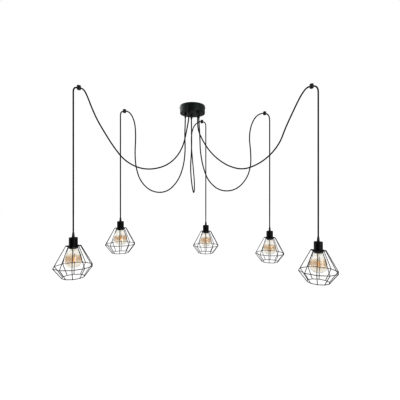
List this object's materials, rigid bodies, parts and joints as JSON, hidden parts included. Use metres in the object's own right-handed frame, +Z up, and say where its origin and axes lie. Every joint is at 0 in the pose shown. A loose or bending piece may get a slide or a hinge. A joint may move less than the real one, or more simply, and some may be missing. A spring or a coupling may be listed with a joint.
{
  "type": "pendant light",
  "caption": "Ceiling pendant whose cords swag from a round canopy to ceiling hooks and hang down to faceted wire cages round globe bulbs.",
  "frame": {"origin": "middle of the canopy on the ceiling plane, between the bracket's two slots", "axes": "+Z up into the ceiling, +X right and +Y away from the viewer, so the picture looks along +Y"},
  "size_m": [1.3558, 0.799, 0.9478],
  "materials": {
    "canopy_paint": "satin black powder coat",
    "hook_paint": "matt black paint",
    "holder_paint": "satin black paint",
    "wire_paint": "matt black powder coat on steel wire",
    "zinc_steel": "zinc-plated",
    "black_screws": "blackened",
    "block_plastic": "moulded, off-white",
    "gland_plastic": "moulded black",
    "socket_plastic": "moulded thermoset, black",
    "cord_sleeve": "braided black textile sleeve",
    "amber_glass": "clear amber",
    "cap_metal": "rolled thread, plated",
    "filament": "glass stem and glowing filaments"
  },
  "bodies": {
    "ceiling": {"canopy_cover": "canopy_paint", "canopy_bracket": "zinc_steel", "terminal_block": "block_plastic", "cover_screws": "black_screws", "cord_glands": "gland_plastic", "gland_nuts": "gland_plastic", "ceiling_hooks": "hook_paint", "clamp_screws": "black_screws", "cord_swag_1": "cord_sleeve", "cord_swag_2": "cord_sleeve", "cord_swag_3": "cord_sleeve", "cord_swag_4": "cord_sleeve", "cord_swag_5": "cord_sleeve"},
    "drop_1": {"cord_drop_1": "cord_sleeve"},
    "lamp_1": {"cord_grip_1": "gland_plastic", "lamp_holder_1": "holder_paint", "holder_socket_1": "socket_plastic", "shade_ring_1": "holder_paint", "cage_1": "wire_paint", "bulb_glass_1": "amber_glass", "bulb_cap_1": "cap_metal", "bulb_filament_1": "filament"},
    "drop_2": {"cord_drop_2": "cord_sleeve"},
    "lamp_2": {"cord_grip_2": "gland_plastic", "lamp_holder_2": "holder_paint", "holder_socket_2": "socket_plastic", "shade_ring_2": "holder_paint", "cage_2": "wire_paint", "bulb_glass_2": "amber_glass", "bulb_cap_2": "cap_metal", "bulb_filament_2": "filament"},
    "drop_3": {"cord_drop_3": "cord_sleeve"},
    "lamp_3": {"cord_grip_3": "gland_plastic", "lamp_holder_3": "holder_paint", "holder_socket_3": "socket_plastic", "shade_ring_3": "holder_paint", "cage_3": "wire_paint", "bulb_glass_3": "amber_glass", "bulb_cap_3": "cap_metal", "bulb_filament_3": "filament"},
    "drop_4": {"cord_drop_4": "cord_sleeve"},
    "lamp_4": {"cord_grip_4": "gland_plastic", "lamp_holder_4": "holder_paint", "holder_socket_4": "socket_plastic", "shade_ring_4": "holder_paint", "cage_4": "wire_paint", "bulb_glass_4": "amber_glass", "bulb_cap_4": "cap_metal", "bulb_filament_4": "filament"},
    "drop_5": {"cord_drop_5": "cord_sleeve"},
    "lamp_5": {"cord_grip_5": "gland_plastic", "lamp_holder_5": "holder_paint", "holder_socket_5": "socket_plastic", "shade_ring_5": "holder_paint", "cage_5": "wire_paint", "bulb_glass_5": "amber_glass", "bulb_cap_5": "cap_metal", "bulb_filament_5": "filament"}
  },
  "joints": [
    {"name": "swing_1", "type": "hinge", "parent": "ceiling", "child": "drop_1", "pos_m": [-0.56705, -0.30893, -0.03561], "axis": [-0.4422, 0.8969, 0], "range_deg": [-10, 10]},
    {"name": "turn_1", "type": "hinge", "parent": "drop_1", "child": "lamp_1", "pos_m": [-0.56705, -0.30893, -0.7374], "axis": [0, 0, 1], "range_deg": [-180, 180]},
    {"name": "swing_2", "type": "hinge", "parent": "ceiling", "child": "drop_2", "pos_m": [-0.44479, 0.05831, -0.03902], "axis": [0.129, 0.9916, 0], "range_deg": [-10, 10]},
    {"name": "turn_2", "type": "hinge", "parent": "drop_2", "child": "lamp_2", "pos_m": [-0.44479, 0.05831, -0.68728], "axis": [0, 0, 1], "range_deg": [-180, 180]},
    {"name": "swing_3", "type": "hinge", "parent": "ceiling", "child": "drop_3", "pos_m": [0.08544, 0.28815, -0.04414], "axis": [0.2202, -0.9755, 0], "range_deg": [-10, 10]},
    {"name": "turn_3", "type": "hinge", "parent": "drop_3", "child": "lamp_3", "pos_m": [0.08544, 0.28815, -0.73203], "axis": [0, 0, 1], "range_deg": [-180, 180]},
    {"name": "swing_4", "type": "hinge", "parent": "ceiling", "child": "drop_4", "pos_m": [0.48519, 0.1042, -0.0578], "axis": [0.1846, -0.9828, 0], "range_deg": [-10, 10]},
    {"name": "turn_4", "type": "hinge", "parent": "drop_4", "child": "lamp_4", "pos_m": [0.48519, 0.1042, -0.75226], "axis": [0, 0, 1], "range_deg": [-180, 180]},
    {"name": "swing_5", "type": "hinge", "parent": "ceiling", "child": "drop_5", "pos_m": [0.60724, -0.32959, -0.04756], "axis": [-0.4614, -0.8872, 0], "range_deg": [-10, 10]},
    {"name": "turn_5", "type": "hinge", "parent": "drop_5", "child": "lamp_5", "pos_m": [0.60724, -0.32959, -0.7553], "axis": [0, 0, 1], "range_deg": [-180, 180]}
  ]
}
